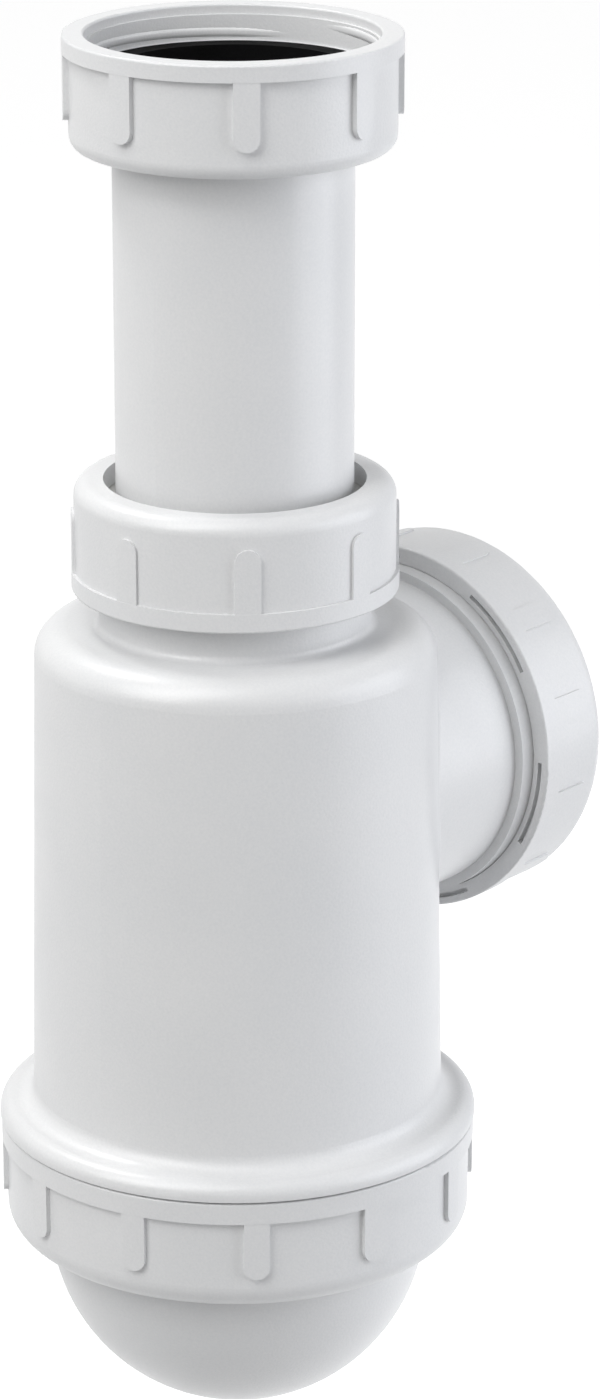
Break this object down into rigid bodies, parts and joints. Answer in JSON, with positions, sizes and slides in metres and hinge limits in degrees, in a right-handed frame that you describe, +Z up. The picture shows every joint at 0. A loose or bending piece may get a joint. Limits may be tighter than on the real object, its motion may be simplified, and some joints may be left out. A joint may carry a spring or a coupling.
{
  "type": "kitchen sink bottle trap",
  "caption": "White plastic bottle trap for a kitchen sink, with ribbed union nuts on its inlet pipe and side outlet, and a screw-off cleaning cup with a round bowl.",
  "frame": {"origin": "centre of the inlet seal's top face, where the sink waste lands", "axes": "+Z up along the inlet pipe and bottle axis, +X out along the side outlet, +Y completes the right-handed frame"},
  "size_m": [0.1027, 0.0828, 0.2427],
  "materials": {
    "white_polypropylene": "satin moulded",
    "soft_polyethylene": "waxy moulded",
    "black_rubber": "matte moulded"
  },
  "bodies": {
    "bottle": {"bottle_body": "white_polypropylene"},
    "inlet_seal": {"inlet_seal": "black_rubber"},
    "pipe": {"inlet_pipe": "white_polypropylene"},
    "inlet_nut": {"inlet_nut": "white_polypropylene"},
    "pipe_seal": {"pipe_seal": "soft_polyethylene"},
    "pipe_nut": {"pipe_nut": "white_polypropylene"},
    "outlet_seal": {"outlet_seal": "soft_polyethylene"},
    "outlet_nut": {"outlet_nut": "white_polypropylene"},
    "cup_seal": {"cup_seal": "black_rubber"},
    "cup": {"cleaning_cup": "white_polypropylene"}
  },
  "joints": [
    {"name": "pipe_slide", "type": "slide", "parent": "bottle", "child": "inlet_seal", "axis": [0, 0, 1], "range_m": [-0.018, 0.03]},
    {"name": "pipe_turn", "type": "hinge", "parent": "inlet_seal", "child": "pipe", "pos_m": [0, 0, -0.004], "axis": [0, 0, 1], "continuous": true},
    {"name": "inlet_nut_turn", "type": "hinge", "parent": "pipe", "child": "inlet_nut", "pos_m": [0, 0, -0.0085], "axis": [0, 0, 1], "continuous": true},
    {"name": "pipe_nut_lift", "type": "slide", "parent": "bottle", "child": "pipe_seal", "axis": [0, 0, 1], "range_m": [0, 0.01155]},
    {"name": "pipe_nut_turn", "type": "hinge", "parent": "pipe_seal", "child": "pipe_nut", "pos_m": [0, 0, -0.0785], "axis": [0, 0, 1], "range_deg": [0, 1800]},
    {"name": "outlet_nut_draw", "type": "slide", "parent": "bottle", "child": "outlet_seal", "axis": [1, 0, 0], "range_m": [0, 0.01155]},
    {"name": "outlet_nut_turn", "type": "hinge", "parent": "outlet_seal", "child": "outlet_nut", "pos_m": [0.053, 0, -0.125], "axis": [1, 0, 0], "range_deg": [0, 1800]},
    {"name": "cup_drop", "type": "slide", "parent": "bottle", "child": "cup_seal", "axis": [0, 0, -1], "range_m": [0, 0.01401]},
    {"name": "cup_turn", "type": "hinge", "parent": "cup_seal", "child": "cup", "pos_m": [0, 0, -0.194], "axis": [0, 0, -1], "range_deg": [0, 1260]}
  ],
  "couplings": [
    {"joint": "pipe_nut_lift", "follows": "pipe_nut_turn", "m_per_rad": 0.00036749},
    {"joint": "outlet_nut_draw", "follows": "outlet_nut_turn", "m_per_rad": 0.00036749},
    {"joint": "cup_drop", "follows": "cup_turn", "m_per_rad": 0.00063662}
  ]
}
